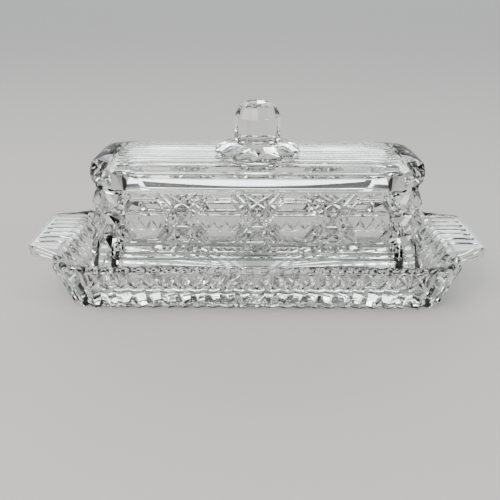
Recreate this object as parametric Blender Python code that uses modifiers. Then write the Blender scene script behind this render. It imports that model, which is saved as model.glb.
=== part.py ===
"""Glass butter dish: a fluted tray with two ear handles, and a loose cover with an octagonal knob.

The origin is under the middle of the tray, on the surface the dish stands on. X runs from handle to
handle, Y across the dish, and Z up. Lengths below are in millimetres and become metres through MM.
"""
import math

import bmesh
import bpy
from mathutils import Matrix, Vector

MM = 0.001

# Gap kept between two pieces that rest on each other.
REST_GAP = 0.3

# Tray: heights.
FOOT_RECESS_Z = 1.5
FOOT_EDGE_Z = 1.2
FLOOR_Z = 9.0
LEDGE_Z = 13.7
RIM_EDGE_Z = 21.4
RIM_TOP_Z = 24.8
HANDLE_TOP_Z = 27.0

# Tray: the wall's flutes. The long sides have parallel flutes of one pitch; corners and ends share theirs.
FLUTE_PITCH = 6.88
LONG_FLUTES = 22
CORNER_FLUTES = 3
END_FLUTES = 7
FLUTE_DEPTH = 1.1
RIM_SCALLOP_DEPTH = 0.35
FLUTE_STEPS = 3
STRAIGHT_HALF = FLUTE_PITCH * LONG_FLUTES / 2

# Tray: half length, half width and the corner's depth along Y at each height of the wall.
FOOT_HALF = (88.4, 31.5)
LEDGE_HALF = (92.7, 36.4)
RIM_HALF = (95.6, 39.3)
FOOT_CORNER_Y = 12.0
RIM_CORNER_Y = 14.5
FOOT_EDGE_INSET = 0.8
LEDGE_STEP = 0.7
RIM_BEVEL = 2.4

# Tray: the well that the cover stands in, at the floor and at the rim.
WELL_FLOOR_HALF = (81.4, 31.8)
WELL_RIM_HALF = (88.2, 36.2)
WELL_FLOOR_CORNER = (9.0, 7.5)
WELL_RIM_CORNER = (8.0, 6.8)
FOOT_RING_WIDTH = 5.5

# Tray: the ear handles and their ribs.
HANDLE_END_X = 108.0
HANDLE_END_HALF = 20.0
HANDLE_ROOT_X = 86.0
HANDLE_NECK_X = 93.0
HANDLE_ROOT_HALF = 29.5
HANDLE_NECK_HALF = 24.5
HANDLE_THICKNESS = 3.8
HANDLE_EDGE_RADIUS = 1.3
HANDLE_EDGE_SEGMENTS = 2
HANDLE_CORNER_RADIUS = 3.0
HANDLE_CORNER_STEPS = 4
HANDLE_RIBS = 7
HANDLE_RIB_PITCH = 5.4
HANDLE_RIB_RADIUS = 1.0
HANDLE_RIB_SEGMENTS = 10
HANDLE_RIB_RISE = 0.5
HANDLE_RIB_START_X = 90.5
HANDLE_RIB_MARGIN = 5.0

# Cover: heights of the foot, the groove under the shoulder, the shoulder's bulge and the arched top.
COVER_FOOT_Z = FLOOR_Z + REST_GAP
COVER_GROOVE_Z = 56.0
COVER_BULGE_Z = 60.0
COVER_CREASE_Z = 64.0
COVER_TOP_Z = 68.4
COVER_ARCH_HALF = 25.6
COVER_ARCH_POWER = 4

# Cover: half length and half width at those heights, and its chamfered corners.
COVER_FOOT_HALF = (79.8, 30.4)
COVER_BELOW_GROOVE_HALF = (74.8, 26.4)
COVER_GROOVE_HALF = (74.0, 25.5)
COVER_BULGE_HALF = (75.2, 26.7)
COVER_CREASE_HALF = (74.3, 25.6)
COVER_CHAMFER = (11.5, 10.0)
COVER_GROOVE_RUN = 1.2
COVER_BULGE_START = 0.4

# Cover: the arched top closes in rings, each this share of the crease's width.
COVER_TOP_SHARES = (0.94, 0.86, 0.74, 0.5)

# Cover: the hollow.
COVER_WALL = 5.2
COVER_ROOF = 5.6
COVER_HOLLOW_CHAMFER = (9.0, 7.5)
COVER_HOLLOW_ROUND = 3.0
COVER_HOLLOW_SHARES = (0.85, 0.6, 0.25)

# Cover: octagonal windows pressed into the long faces and the ends.
WINDOW_PITCH = 33.5
WINDOW_COUNT = 4
WINDOW_SIZE = (18.0, 16.4)
WINDOW_CUT_X = 4.4
WINDOW_CUT_Y = 6.0
WINDOW_Z = 42.8
WINDOW_DEPTH = 0.8

# Cutters reach this far past the surface that they cut through.
CUT_PAST = 1.0

# Knob, its collar and the turned mound under it.
KNOB_SIDES = 8
KNOB_RADIUS = 10.6
COLLAR_Z = 71.4
KNOB_GROOVE_Z = 73.4
KNOB_GROOVE_DEPTH = 0.9
KNOB_GROOVE_HALF = 0.3
KNOB_SIDE_TOP_Z = 83.7
KNOB_SHOULDER = (8.2, 88.4)
KNOB_BEVEL = (5.4, 90.1)
KNOB_TOP = (3.0, 90.6)
MOUND_RADIUS = 21.8
MOUND_EDGE_Z = 67.4
MOUND_TOP_Z = 71.6
MOUND_SINK_Z = 65.6
MOUND_STEPS = 6
MOUND_SEGMENTS = 32


def clear_scene():
    for old in list(bpy.data.objects):
        bpy.data.objects.remove(old, do_unlink=True)


def new_collection(name):
    collection = bpy.data.collections.new(name)
    bpy.context.scene.collection.children.link(collection)
    return collection


def glass(name, color):
    """Clear pressed glass."""
    material = bpy.data.materials.new(name)
    material.use_nodes = True
    shader = material.node_tree.nodes["Principled BSDF"]
    shader.inputs["Base Color"].default_value = (*color, 1.0)
    shader.inputs["Roughness"].default_value = 0.03
    shader.inputs["Metallic"].default_value = 0.0
    shader.inputs["IOR"].default_value = 1.54
    shader.inputs["Transmission Weight"].default_value = 1.0
    return material


def side(start, end, flutes, depth):
    """Points of one side from start up to, but not including, end, hollowed by its flutes."""
    start = Vector(start)
    run = Vector(end) - start
    inward = Vector((-run.y, run.x)).normalized()
    count = flutes * FLUTE_STEPS
    points = []
    for step in range(count):
        within = (step % FLUTE_STEPS) / FLUTE_STEPS
        hollow = depth * 4 * within * (1 - within)
        points.append(start + run * (step / count) + inward * hollow)
    return points


def fluted_outline(half, corner_y, depth):
    """The tray's outline at one height: fluted sides, and corners turned in CORNER_FLUTES facets."""
    half_x, half_y = half
    corner_x = half_x - STRAIGHT_HALF
    quarter = []
    for facet in range(CORNER_FLUTES + 1):
        angle = math.pi / 2 * facet / CORNER_FLUTES
        x = STRAIGHT_HALF + corner_x * math.cos(angle)
        y = half_y - corner_y + corner_y * math.sin(angle)
        quarter.append((x, y))
    right_back = quarter
    left_back = [(-x, y) for x, y in reversed(quarter)]
    left_front = [(-x, -y) for x, y in quarter]
    right_front = [(x, -y) for x, y in reversed(quarter)]
    nodes = right_back + left_back + left_front + right_front
    points = []
    for index, node in enumerate(nodes):
        following = nodes[(index + 1) % len(nodes)]
        if abs(node[0] - following[0]) < 1e-6:
            flutes = END_FLUTES
        elif abs(node[1] - following[1]) < 1e-6:
            flutes = LONG_FLUTES
        else:
            flutes = 1
        points += side(node, following, flutes, depth)
    return points


def chamfered_outline(half, chamfer):
    """A rectangle with its four corners cut off, counterclockwise from the right end."""
    half_x, half_y = half
    cut_x, cut_y = chamfer
    quarter = [(half_x, half_y - cut_y), (half_x - cut_x, half_y)]
    points = []
    points += quarter
    points += [(-x, y) for x, y in reversed(quarter)]
    points += [(-x, -y) for x, y in quarter]
    points += [(x, -y) for x, y in reversed(quarter)]
    return points


def loft(name, sections, lift=None):
    """A closed solid through sections of (height, outline), lowest first; lift bends a section's height."""
    mesh_builder = bmesh.new()
    rings = []
    for height, outline in sections:
        ring = []
        for x, y in outline:
            z = lift(height, y) if lift else height
            ring.append(mesh_builder.verts.new((x * MM, y * MM, z * MM)))
        rings.append(ring)
    for lower, upper in zip(rings, rings[1:]):
        for index in range(len(lower)):
            after = (index + 1) % len(lower)
            mesh_builder.faces.new((lower[index], lower[after], upper[after], upper[index]))
    mesh_builder.faces.new(list(reversed(rings[0])))
    mesh_builder.faces.new(rings[-1])
    mesh = bpy.data.meshes.new(name)
    mesh_builder.to_mesh(mesh)
    mesh_builder.free()
    return bpy.data.objects.new(name, mesh)


def as_cutter(tool, cutters):
    cutters.objects.link(tool)
    tool.hide_render = True
    tool.display_type = "WIRE"
    return tool


def combine(target, tool, operation):
    modifier = target.modifiers.new(f"{operation.lower()}_{tool.name}", "BOOLEAN")
    modifier.operation = operation
    modifier.object = tool


def grown(half, by):
    return (half[0] + by, half[1] + by)


def round_corner(before, corner, after, radius):
    """Points that replace a corner of an outline by an arc tangent to both its sides."""
    before, corner, after = Vector(before), Vector(corner), Vector(after)
    to_before = (before - corner).normalized()
    to_after = (after - corner).normalized()
    half_angle = to_before.angle(to_after) / 2
    centre = corner + (to_before + to_after).normalized() * (radius / math.sin(half_angle))
    first = corner + to_before * (radius / math.tan(half_angle)) - centre
    last = corner + to_after * (radius / math.tan(half_angle)) - centre
    steps = HANDLE_CORNER_STEPS
    return [centre + first.slerp(last, step / steps) * radius for step in range(steps + 1)]


def tray_body():
    """The tray's block before it is hollowed: foot, flutes, ledge and bevelled rim."""
    flutes = FLUTE_DEPTH
    scallop = RIM_SCALLOP_DEPTH
    ledge_corner = (FOOT_CORNER_Y + RIM_CORNER_Y) / 2
    sections = [
        (0.0, fluted_outline(grown(FOOT_HALF, -FOOT_EDGE_INSET), FOOT_CORNER_Y, flutes)),
        (FOOT_EDGE_Z, fluted_outline(FOOT_HALF, FOOT_CORNER_Y, flutes)),
        (LEDGE_Z, fluted_outline(LEDGE_HALF, ledge_corner, flutes)),
        (LEDGE_Z + LEDGE_STEP, fluted_outline(grown(LEDGE_HALF, LEDGE_STEP), ledge_corner, scallop)),
        (RIM_EDGE_Z, fluted_outline(RIM_HALF, RIM_CORNER_Y, scallop)),
        (RIM_TOP_Z, fluted_outline(grown(RIM_HALF, -RIM_BEVEL), RIM_CORNER_Y - RIM_BEVEL, scallop)),
    ]
    return loft("tray", sections)


def well_cutter():
    """The hollow of the tray, carried on past the handles' top at the same slope."""
    top_z = HANDLE_TOP_Z + HANDLE_RIB_RISE + CUT_PAST
    share = (top_z - FLOOR_Z) / (RIM_TOP_Z - FLOOR_Z)
    half = [low + (high - low) * share for low, high in zip(WELL_FLOOR_HALF, WELL_RIM_HALF)]
    corner = [low + (high - low) * share for low, high in zip(WELL_FLOOR_CORNER, WELL_RIM_CORNER)]
    sections = [
        (FLOOR_Z, chamfered_outline(WELL_FLOOR_HALF, WELL_FLOOR_CORNER)),
        (top_z, chamfered_outline(half, corner)),
    ]
    return loft("well", sections)


def foot_recess_cutter():
    """The shallow recess that leaves a flat ring for the tray to stand on."""
    half = grown(FOOT_HALF, -FOOT_RING_WIDTH)
    corner = (half[0] - STRAIGHT_HALF, FOOT_CORNER_Y)
    sections = [
        (-CUT_PAST, chamfered_outline(half, corner)),
        (FOOT_RECESS_Z, chamfered_outline(grown(half, -FOOT_RECESS_Z), corner)),
    ]
    return loft("foot_recess", sections)


def handle_plate(direction):
    """One ear handle: a tapering plate with round corners and edges, rooted inside the tray's end wall."""
    outline = [
        (HANDLE_ROOT_X, -HANDLE_ROOT_HALF),
        (HANDLE_NECK_X, -HANDLE_NECK_HALF),
    ]
    low_corner = (HANDLE_END_X, -HANDLE_END_HALF)
    high_corner = (HANDLE_END_X, HANDLE_END_HALF)
    low_neck = (HANDLE_NECK_X, -HANDLE_NECK_HALF)
    high_neck = (HANDLE_NECK_X, HANDLE_NECK_HALF)
    outline += round_corner(low_neck, low_corner, high_corner, HANDLE_CORNER_RADIUS)
    outline += round_corner(low_corner, high_corner, high_neck, HANDLE_CORNER_RADIUS)
    outline += [high_neck, (HANDLE_ROOT_X, HANDLE_ROOT_HALF)]
    if direction < 0:
        outline = [(-x, y) for x, y in reversed(outline)]
    plate = loft("handle", [(HANDLE_TOP_Z - HANDLE_THICKNESS, outline), (HANDLE_TOP_Z, outline)])
    bevel = plate.modifiers.new("edge", "BEVEL")
    bevel.width = HANDLE_EDGE_RADIUS * MM
    bevel.segments = HANDLE_EDGE_SEGMENTS
    return plate


def handle_rib(direction, offset_y):
    """One raised rib along the top of a handle, a rounded bar sunk most of the way into the glass."""
    taper = (HANDLE_NECK_HALF - HANDLE_END_HALF) / (HANDLE_END_X - HANDLE_NECK_X)
    reach = (HANDLE_NECK_HALF - abs(offset_y)) / taper + HANDLE_NECK_X
    stop_x = min(HANDLE_END_X, reach) - HANDLE_RIB_MARGIN
    length = stop_x - HANDLE_RIB_START_X
    centre_x = direction * (HANDLE_RIB_START_X + length / 2)
    centre_z = HANDLE_TOP_Z + HANDLE_RIB_RISE - HANDLE_RIB_RADIUS
    rib_builder = bmesh.new()
    bmesh.ops.create_cone(
        rib_builder, cap_ends=True, segments=HANDLE_RIB_SEGMENTS, depth=length * MM,
        radius1=HANDLE_RIB_RADIUS * MM, radius2=HANDLE_RIB_RADIUS * MM,
    )
    mesh = bpy.data.meshes.new("handle_rib")
    rib_builder.to_mesh(mesh)
    rib_builder.free()
    rib = bpy.data.objects.new("handle_rib", mesh)
    rib.rotation_euler = (0.0, math.pi / 2, 0.0)
    rib.location = (centre_x * MM, offset_y * MM, centre_z * MM)
    return rib


def make_tray(parts, cutters, material):
    tray = tray_body()
    parts.objects.link(tray)
    tray.data.materials.append(material)
    for direction in (1, -1):
        combine(tray, as_cutter(handle_plate(direction), cutters), "UNION")
    combine(tray, as_cutter(well_cutter(), cutters), "DIFFERENCE")
    combine(tray, as_cutter(foot_recess_cutter(), cutters), "DIFFERENCE")
    for direction in (1, -1):
        for index in range(HANDLE_RIBS):
            offset_y = (index - (HANDLE_RIBS - 1) / 2) * HANDLE_RIB_PITCH
            combine(tray, as_cutter(handle_rib(direction, offset_y), cutters), "UNION")
    return tray


def arched(groove_z, crease_z):
    """A lift for loft: heights follow the arch across Y, fully at the crease and less towards the groove."""

    def lift(z, y):
        share = min(1.0, max(0.0, (z - groove_z) / (crease_z - groove_z)))
        curve = 1 - min(1.0, abs(y) / COVER_ARCH_HALF) ** COVER_ARCH_POWER
        return z + (COVER_TOP_Z - COVER_CREASE_Z) * curve * share

    return lift


def closing_rings(crease_z, crease_half, chamfer, shares):
    """Sections past the crease, shrinking inwards to close an arched top."""
    rings = []
    for share in shares:
        half_y = crease_half[1] * share
        half_x = crease_half[0] - (crease_half[1] - half_y)
        cut = (chamfer[0] * share, chamfer[1] * share)
        rings.append((crease_z, chamfered_outline((half_x, half_y), cut)))
    return rings


def cover_body():
    """The cover's block before it is hollowed."""
    bulge_start = grown(COVER_BULGE_HALF, -COVER_BULGE_START)
    sections = [
        (COVER_FOOT_Z, chamfered_outline(COVER_FOOT_HALF, COVER_CHAMFER)),
        (COVER_GROOVE_Z - COVER_GROOVE_RUN, chamfered_outline(COVER_BELOW_GROOVE_HALF, COVER_CHAMFER)),
        (COVER_GROOVE_Z, chamfered_outline(COVER_GROOVE_HALF, COVER_CHAMFER)),
        (COVER_GROOVE_Z + COVER_GROOVE_RUN, chamfered_outline(bulge_start, COVER_CHAMFER)),
        (COVER_BULGE_Z, chamfered_outline(COVER_BULGE_HALF, COVER_CHAMFER)),
        (COVER_CREASE_Z, chamfered_outline(COVER_CREASE_HALF, COVER_CHAMFER)),
    ]
    sections += closing_rings(COVER_CREASE_Z, COVER_CREASE_HALF, COVER_CHAMFER, COVER_TOP_SHARES)
    return loft("cover", sections, arched(COVER_GROOVE_Z, COVER_CREASE_Z))


def hollow_cutter():
    """The inside of the cover, open at the foot, under the same arch as the top."""
    crease_z = COVER_CREASE_Z - COVER_ROOF
    foot_half = grown(COVER_FOOT_HALF, -COVER_WALL)
    wall_top_half = grown(COVER_CREASE_HALF, -COVER_WALL)
    crease_half = grown(wall_top_half, -COVER_HOLLOW_ROUND / 2)
    sections = [
        (COVER_FOOT_Z - CUT_PAST, chamfered_outline(foot_half, COVER_HOLLOW_CHAMFER)),
        (crease_z - COVER_HOLLOW_ROUND, chamfered_outline(wall_top_half, COVER_HOLLOW_CHAMFER)),
        (crease_z, chamfered_outline(crease_half, COVER_HOLLOW_CHAMFER)),
    ]
    sections += closing_rings(crease_z, crease_half, COVER_HOLLOW_CHAMFER, COVER_HOLLOW_SHARES)
    return loft("hollow", sections, arched(COVER_GROOVE_Z - COVER_ROOF, crease_z))


def octagon(radius):
    """The knob's outline, with a corner facing the front."""
    points = []
    for index in range(KNOB_SIDES):
        angle = 2 * math.pi * index / KNOB_SIDES
        points.append((radius * math.cos(angle), radius * math.sin(angle)))
    return points


def knob_solid():
    """The eight-sided knob, bevelled at the top, on its collar with a fine groove between."""
    necked = KNOB_RADIUS - KNOB_GROOVE_DEPTH
    steps = [
        (MOUND_SINK_Z, necked),
        (COLLAR_Z, KNOB_RADIUS),
        (KNOB_GROOVE_Z - KNOB_GROOVE_HALF, KNOB_RADIUS),
        (KNOB_GROOVE_Z, necked),
        (KNOB_GROOVE_Z + KNOB_GROOVE_HALF, KNOB_RADIUS),
        (KNOB_SIDE_TOP_Z, KNOB_RADIUS),
        (KNOB_SHOULDER[1], KNOB_SHOULDER[0]),
        (KNOB_BEVEL[1], KNOB_BEVEL[0]),
        (KNOB_TOP[1], KNOB_TOP[0]),
    ]
    return loft("knob", [(height, octagon(radius)) for height, radius in steps])


def mound_solid():
    """The low dome under the knob, turned about Z."""
    profile = [(0.0, MOUND_TOP_Z)]
    for step in range(MOUND_STEPS + 1):
        angle = math.pi / 2 * step / MOUND_STEPS
        radius = KNOB_RADIUS + (MOUND_RADIUS - KNOB_RADIUS) * math.sin(angle)
        height = MOUND_EDGE_Z + (MOUND_TOP_Z - MOUND_EDGE_Z) * math.cos(angle)
        profile.append((radius, height))
    profile += [(MOUND_RADIUS, MOUND_SINK_Z), (0.0, MOUND_SINK_Z)]
    mesh = bpy.data.meshes.new("mound")
    edges = [(index, index + 1) for index in range(len(profile) - 1)]
    mesh.from_pydata([(radius * MM, 0.0, height * MM) for radius, height in profile], edges, [])
    mound = bpy.data.objects.new("mound", mesh)
    turn = mound.modifiers.new("turn", "SCREW")
    turn.steps = MOUND_SEGMENTS
    turn.render_steps = MOUND_SEGMENTS
    turn.use_merge_vertices = True
    turn.merge_threshold = 0.00001
    return mound


def window_cutter(center, turn_z, lean):
    """An eight-sided plug that presses one shallow window, its flat end parallel to the leaning wall."""
    half_x, half_y = WINDOW_SIZE[0] / 2, WINDOW_SIZE[1] / 2
    outline = chamfered_outline((half_x, half_y), (WINDOW_CUT_X, WINDOW_CUT_Y))
    plug = loft("window", [(-WINDOW_DEPTH, outline), (CUT_PAST, outline)])
    upright = Matrix.Rotation(math.pi / 2 - lean, 4, "X")
    plug.matrix_world = Matrix.Translation(center) @ Matrix.Rotation(turn_z, 4, "Z") @ upright
    return plug


def window_cutters():
    """Windows along both long faces and one at the middle of each end."""
    wall_height = COVER_GROOVE_Z - COVER_GROOVE_RUN - COVER_FOOT_Z
    share = (WINDOW_Z - COVER_FOOT_Z) / wall_height
    tapers = [foot - top for foot, top in zip(COVER_FOOT_HALF, COVER_BELOW_GROOVE_HALF)]
    face = [foot - taper * share for foot, taper in zip(COVER_FOOT_HALF, tapers)]
    lean_x, lean_y = [math.atan(taper / wall_height) for taper in tapers]
    plugs = []
    for turn_z in (0.0, math.pi):
        facing = -1 if turn_z == 0.0 else 1
        for index in range(WINDOW_COUNT):
            x = (index - (WINDOW_COUNT - 1) / 2) * WINDOW_PITCH
            center = Vector((x * MM, facing * face[1] * MM, WINDOW_Z * MM))
            plugs.append(window_cutter(center, turn_z, lean_y))
    for turn_z in (math.pi / 2, -math.pi / 2):
        facing = 1 if turn_z > 0 else -1
        center = Vector((facing * face[0] * MM, 0.0, WINDOW_Z * MM))
        plugs.append(window_cutter(center, turn_z, lean_x))
    return plugs


def make_cover(parts, cutters, material):
    cover = cover_body()
    parts.objects.link(cover)
    cover.data.materials.append(material)
    combine(cover, as_cutter(hollow_cutter(), cutters), "DIFFERENCE")
    combine(cover, as_cutter(mound_solid(), cutters), "UNION")
    combine(cover, as_cutter(knob_solid(), cutters), "UNION")
    for plug in window_cutters():
        combine(cover, as_cutter(plug, cutters), "DIFFERENCE")
    return cover


def main():
    clear_scene()
    parts = new_collection("butter_dish")
    cutters = new_collection("cutters")
    clear_glass = glass("clear_glass", (0.93, 0.95, 0.93))
    make_tray(parts, cutters, clear_glass)
    make_cover(parts, cutters, clear_glass)


main()
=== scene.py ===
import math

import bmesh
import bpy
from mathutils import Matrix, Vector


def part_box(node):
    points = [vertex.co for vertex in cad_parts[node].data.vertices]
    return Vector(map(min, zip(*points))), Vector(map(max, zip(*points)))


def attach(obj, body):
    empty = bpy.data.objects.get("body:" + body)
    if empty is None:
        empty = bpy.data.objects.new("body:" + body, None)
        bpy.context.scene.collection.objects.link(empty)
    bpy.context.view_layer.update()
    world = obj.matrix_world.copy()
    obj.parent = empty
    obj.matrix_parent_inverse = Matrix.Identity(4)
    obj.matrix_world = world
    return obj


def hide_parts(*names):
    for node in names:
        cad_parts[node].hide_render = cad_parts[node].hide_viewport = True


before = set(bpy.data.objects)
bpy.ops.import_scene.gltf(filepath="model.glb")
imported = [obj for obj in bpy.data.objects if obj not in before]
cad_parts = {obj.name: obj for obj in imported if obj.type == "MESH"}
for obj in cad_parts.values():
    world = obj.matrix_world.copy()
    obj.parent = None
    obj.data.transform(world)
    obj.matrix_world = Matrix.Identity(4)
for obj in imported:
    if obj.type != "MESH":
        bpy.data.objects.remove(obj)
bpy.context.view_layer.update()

# Looks of the glass butter dish: pressed, cut-pattern glass for the tray and the cover.
#
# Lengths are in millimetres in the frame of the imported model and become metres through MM. X runs from
# handle to handle, Y across the dish with the front at -Y, and Z up. A name that ends in HALF gives two
# half sizes, such as half a length and half a width.

MM = 0.001
TRAY_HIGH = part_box("tray")[1] / MM
COVER_LOW, COVER_HIGH = [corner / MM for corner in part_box("cover")]

# Cutters reach this far past the surface that they cut.
CUT_PAST = 0.6
# The pointed end of a groove's cutter stops just over the surface, so no two cuts end in one point.
TIP_RAISE = 0.02
# Edges shorter than this are closed up after the last cut, and what that leaves is divided again.
SLIVER = 0.0005
SLIVER_PASSES = 3
# Edges turned by more than this many degrees stay crisp.
SMOOTH_ANGLE = 15

# Tray: the wall at the foot, the ledge and the rim's edge, and how far its corners run along Y.
FOOT_HALF = (89.0, 32.9)
LEDGE_HALF = (92.7, 36.4)
RIM_HALF = (95.6, TRAY_HIGH.y)
FOOT_CORNER_Y = 12.0
RIM_CORNER_Y = 14.5
LEDGE_Z = 12.1
RIM_EDGE_Z = 21.4
RIM_TOP_Z = 24.8

# Tray: flutes round the wall, and the places across a flute that its rings go through.
FLUTE_PITCH = 6.88
LONG_FLUTES = 22
CORNER_FLUTES = 3
END_FLUTES = 7
STRAIGHT_HALF_X = FLUTE_PITCH * LONG_FLUTES / 2
FLUTE_DEPTH = 1.7
FLUTE_PLACES = (0.0, 0.03, 0.07, 0.13, 0.25, 0.5, 0.75, 0.87, 0.93, 0.97)
ARRIS_ROUND = 0.12
WALL_SHARES = (0.25, 0.5, 0.75)
# The corners' wide flutes: their depth, and the share of it that is left in the bands above the ledge.
CORNER_DEPTH = FLUTE_DEPTH * 1.15
BAND_CORNER_SHARE = 0.7
EDGE_CORNER_SHARE = 0.6
RIM_CORNER_SHARE = 0.5

# Tray: the foot's rounding, as heights and insets in shares of its radius.
FOOT_ROUND = 0.7
FOOT_PROFILE = ((0.0, 1.0), (0.3, 0.45), (1.0, 0.0))

# Tray: the arched ledge over each flute. Its lip gives distances under the ledge, each with the share of the
# flute's depth that is left there.
ARCH_RISE = 1.2
LEDGE_STEP = 0.6
LEDGE_LIP = ((1.6, 1.0), (0.9, 0.86), (0.4, 0.6), (0.0, 0.4))

# Tray: zigzag ridges and valleys between the ledge and the rim's edge. Each row gives the height over the
# ledge at an arris and midway between two, and then the depth at both.
ZIGZAGS = (
    (0.35, 0.35 + ARCH_RISE, 0.0, 0.9),
    (0.9, 4.1, 0.0, 0.0),
    (1.5, 6.5, 0.8, 0.8),
    (2.9, 8.7, 0.0, 0.0),
    (RIM_EDGE_Z - LEDGE_Z, RIM_EDGE_Z - LEDGE_Z, 1.4, 0.0),
)

# Tray: the rim's beads. Each arch over a flute is notched in its middle, and the notch narrows upwards.
BEAD_EDGE_RISE = 0.2
BEAD_RISE = 0.4
BEAD_INSET = 0.5
BEAD_DIP = 1.1
BEAD_NOTCH_IN = 1.8
BEAD_NOTCH_FROM = 0.35
BEAD_NOTCH_NARROWS = 0.65
RIM_BEVEL = 2.4
RIM_STEPS = 8

# Tray: the well.
FLOOR_Z = 9.0
WELL_FLOOR_HALF = (80.7, 31.8)
WELL_RIM_HALF = (88.0, 36.2)
WELL_FLOOR_CORNER = (9.0, 7.5)
WELL_RIM_CORNER = (8.0, 6.8)
WELL_STEPS = 14
WELL_END_POWER = 2.1
WELL_PAST = 2.0

# Tray: the recess inside the foot ring, and the sunburst of mitre grooves cut into it.
FOOT_RING_WIDTH = 5.5
FOOT_RECESS_Z = 1.5
SUN_RAYS = 56
SUN_HUB = 4.0
SUN_MARGIN = 1.0
SUN_FILL = 0.94
SUN_STEEPNESS = 0.2
# Places along a ray as a share of its length, each with how far the groove is open there.
SUN_PROFILE = ((0.0, 0.0), (0.95, 1.0), (1.0, 0.0))

# Tray: handles. Their underside slopes down inwards, by HANDLE_THICKEN for each millimetre.
HANDLE_TOP_Z = 27.0
HANDLE_END_X = TRAY_HIGH.x
HANDLE_END_HALF_Y = 20.0
HANDLE_NECK_X = 93.0
HANDLE_NECK_HALF_Y = 24.5
HANDLE_ROOT_X = 86.0
HANDLE_ROOT_HALF_Y = 29.5
HANDLE_END_THICKNESS = 5.3
HANDLE_THICKEN = 0.15
HANDLE_EDGE_RADIUS = 1.5
HANDLE_EDGE_SEGMENTS = 8
HANDLE_CORNER_RADIUS = 3.0
HANDLE_CORNER_STEPS = 8

# Tray: raised ribs along each handle, over the crease where it meets the wall and down into the well.
RIB_COUNT = 7
RIB_SPACING = 5.4
RIB_RADIUS = 0.75
RIB_RISE = 0.62
RIB_MARGIN = 2.8
RIB_SIDES = 12
RIB_STEPS = 5
RIB_TIP = (0.2, 0.6)
RIB_CREASE_X = 90.6
RIB_TURN_DROP = 0.4
RIB_FLOOR_GAP = 0.5
RIB_WELL_DROP = 0.4

# Cover: walls, groove, rounded shoulder, crease and arched top.
COVER_FOOT_Z = COVER_LOW.z
COVER_FOOT_HALF = (COVER_HIGH.x, COVER_HIGH.y)
COVER_FOOT_ROUND = 0.5
CHAMFER = (11.5, 10.0)
GROOVE_Z = 56.0
GROOVE_RUN = 1.1
GROOVE_HALF = (74.0, 25.4)
BELOW_GROOVE_HALF = (74.8, 26.4)
COVER_WALL_RISE = GROOVE_Z - GROOVE_RUN - COVER_FOOT_Z - COVER_FOOT_ROUND
BULGE_Z = 60.0
BULGE_HALF = (75.2, 26.7)
SHOULDER_LOW_Z = GROOVE_Z + 0.5
SHOULDER_RADIUS = 7.8
SHOULDER_STEPS = 10
CREASE_Z = 64.0
COVER_TOP_Z = 68.4
ARCH_HALF_Y = 25.6
ARCH_POWER = 5
ARCH_RINGS = 26
CLOSING_POWER = 1.5
# The arched top rounds down over this run at both ends, by this share of its rise.
END_DROP = 0.55
END_DROP_RUN = 9.0
END_STEPS = 14

# Cover: the hollow.
WALL = 5.2
ROOF = 5.6
HOLLOW_TOP_INSET = 1.1
HOLLOW_CHAMFER = (9.0, 7.5)
HOLLOW_ROUND = 8.0
HOLLOW_STEPS = 12
HOLLOW_RINGS = 10

# Cover: V grooves of the cut pattern. Both ends of a groove taper to a point.
CUT_WIDTH = 1.7
CUT_DEPTH = 1.35
CUT_TAPER = 0.8
CUT_TAPER_LIMIT = 0.45
SHORTEST_CUT = 1.5

# Cover: the cut pattern of a face. U runs along the face and V up it, both from a window's middle.
WINDOW_PITCH = 33.5
WINDOW_COUNT = 4
WINDOW_Z = 42.8
WINDOW_HALF = (9.0, 8.2)
WINDOW_CUT = (4.4, 6.0)
WINDOW_DEPTH = 2.6
WINDOW_BEVEL = 1.4
PANEL_HALF_U = 65.5
PANEL_TOP_V = 12.6
PANEL_SIDE_LEAN = 1.5
END_PANEL_HALF_U = 15.5
LINE_TOP_V = -10.8
LINE_LOW_V = -15.3
BAND_LOW_V = -18.1

# Cover: the octagon of grooves round each window, and the bar over it.
RING_HALF = (10.3, 9.5)
RING_CUT = (4.8, 6.55)
RING_TAPER = 0.35
RING_SHORTEST = 0.5
BAR_END_U = 5.9
BAR_END_PAST = 0.4
BAR_END_TAPER = 0.5

# Cover: the star of crossing grooves between two windows. Its nodes lie round STAR_V.
STAR_V = 0.8
STAR_NODE = (3.6, 4.2)
STAR_CROSSING = 6.7
STAR_WIDTH = 1.9
STAR_DEPTH = 1.3
STAR_MARGIN = 1.6
STAR_TOP_LEAN = 1.0
STAR_SIDE_PAST = 0.5
STAR_FOOT_LEANS = (1.0, 4.0)
STAR_FOOT_DIP = 0.8
STAR_BAR_OFFSETS = (0.0, 2.9)
STAR_BAR_LENGTH = 3.4

# Cover: round reeds along the top, and the groove that frames them.
REED_PITCH = 2.9
REED_RADIUS = 1.75
REED_STEPS = 5
REED_HALF_LENGTH = 63.2
REED_END_SHARE = 0.97
REED_LAST_Y = 24.0
FRAME_X = 64.4
FRAME_WIDTH = 1.8
FRAME_DEPTH = 0.9
FRAME_STEPS = 30

# Cover: the line at the crease.
CREASE_LEAN = math.radians(50)
CREASE_WIDTH = 1.8
CREASE_DEPTH = 0.7
CREASE_MARGIN = 0.5

# Cover: notches in the corners' upright edges.
NOTCH_TOP_Z = 53.6
NOTCH_PITCH = 9.6
NOTCH_COUNT = 3
NOTCH_WIDTH = 8.2
NOTCH_DEPTH = 2.6
NOTCH_HALF_LENGTH = 7.0

# Knob and collar. The stem stands inside the mound, and the crown gives heights and radii.
KNOB_SIDES = 8
KNOB_RADIUS = 10.6
STEM_INSET = 1.0
COLLAR_Z = 71.4
COLLAR_BEVEL = 1.0
KNOB_GROOVE_Z = 73.4
KNOB_GROOVE_IN = 0.9
KNOB_GROOVE_REACH = 0.4
KNOB_SIDE_TOP_Z = 83.7
KNOB_CROWN = ((88.4, 8.2), (90.1, 5.4), (COVER_HIGH.z, 3.0))

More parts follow.
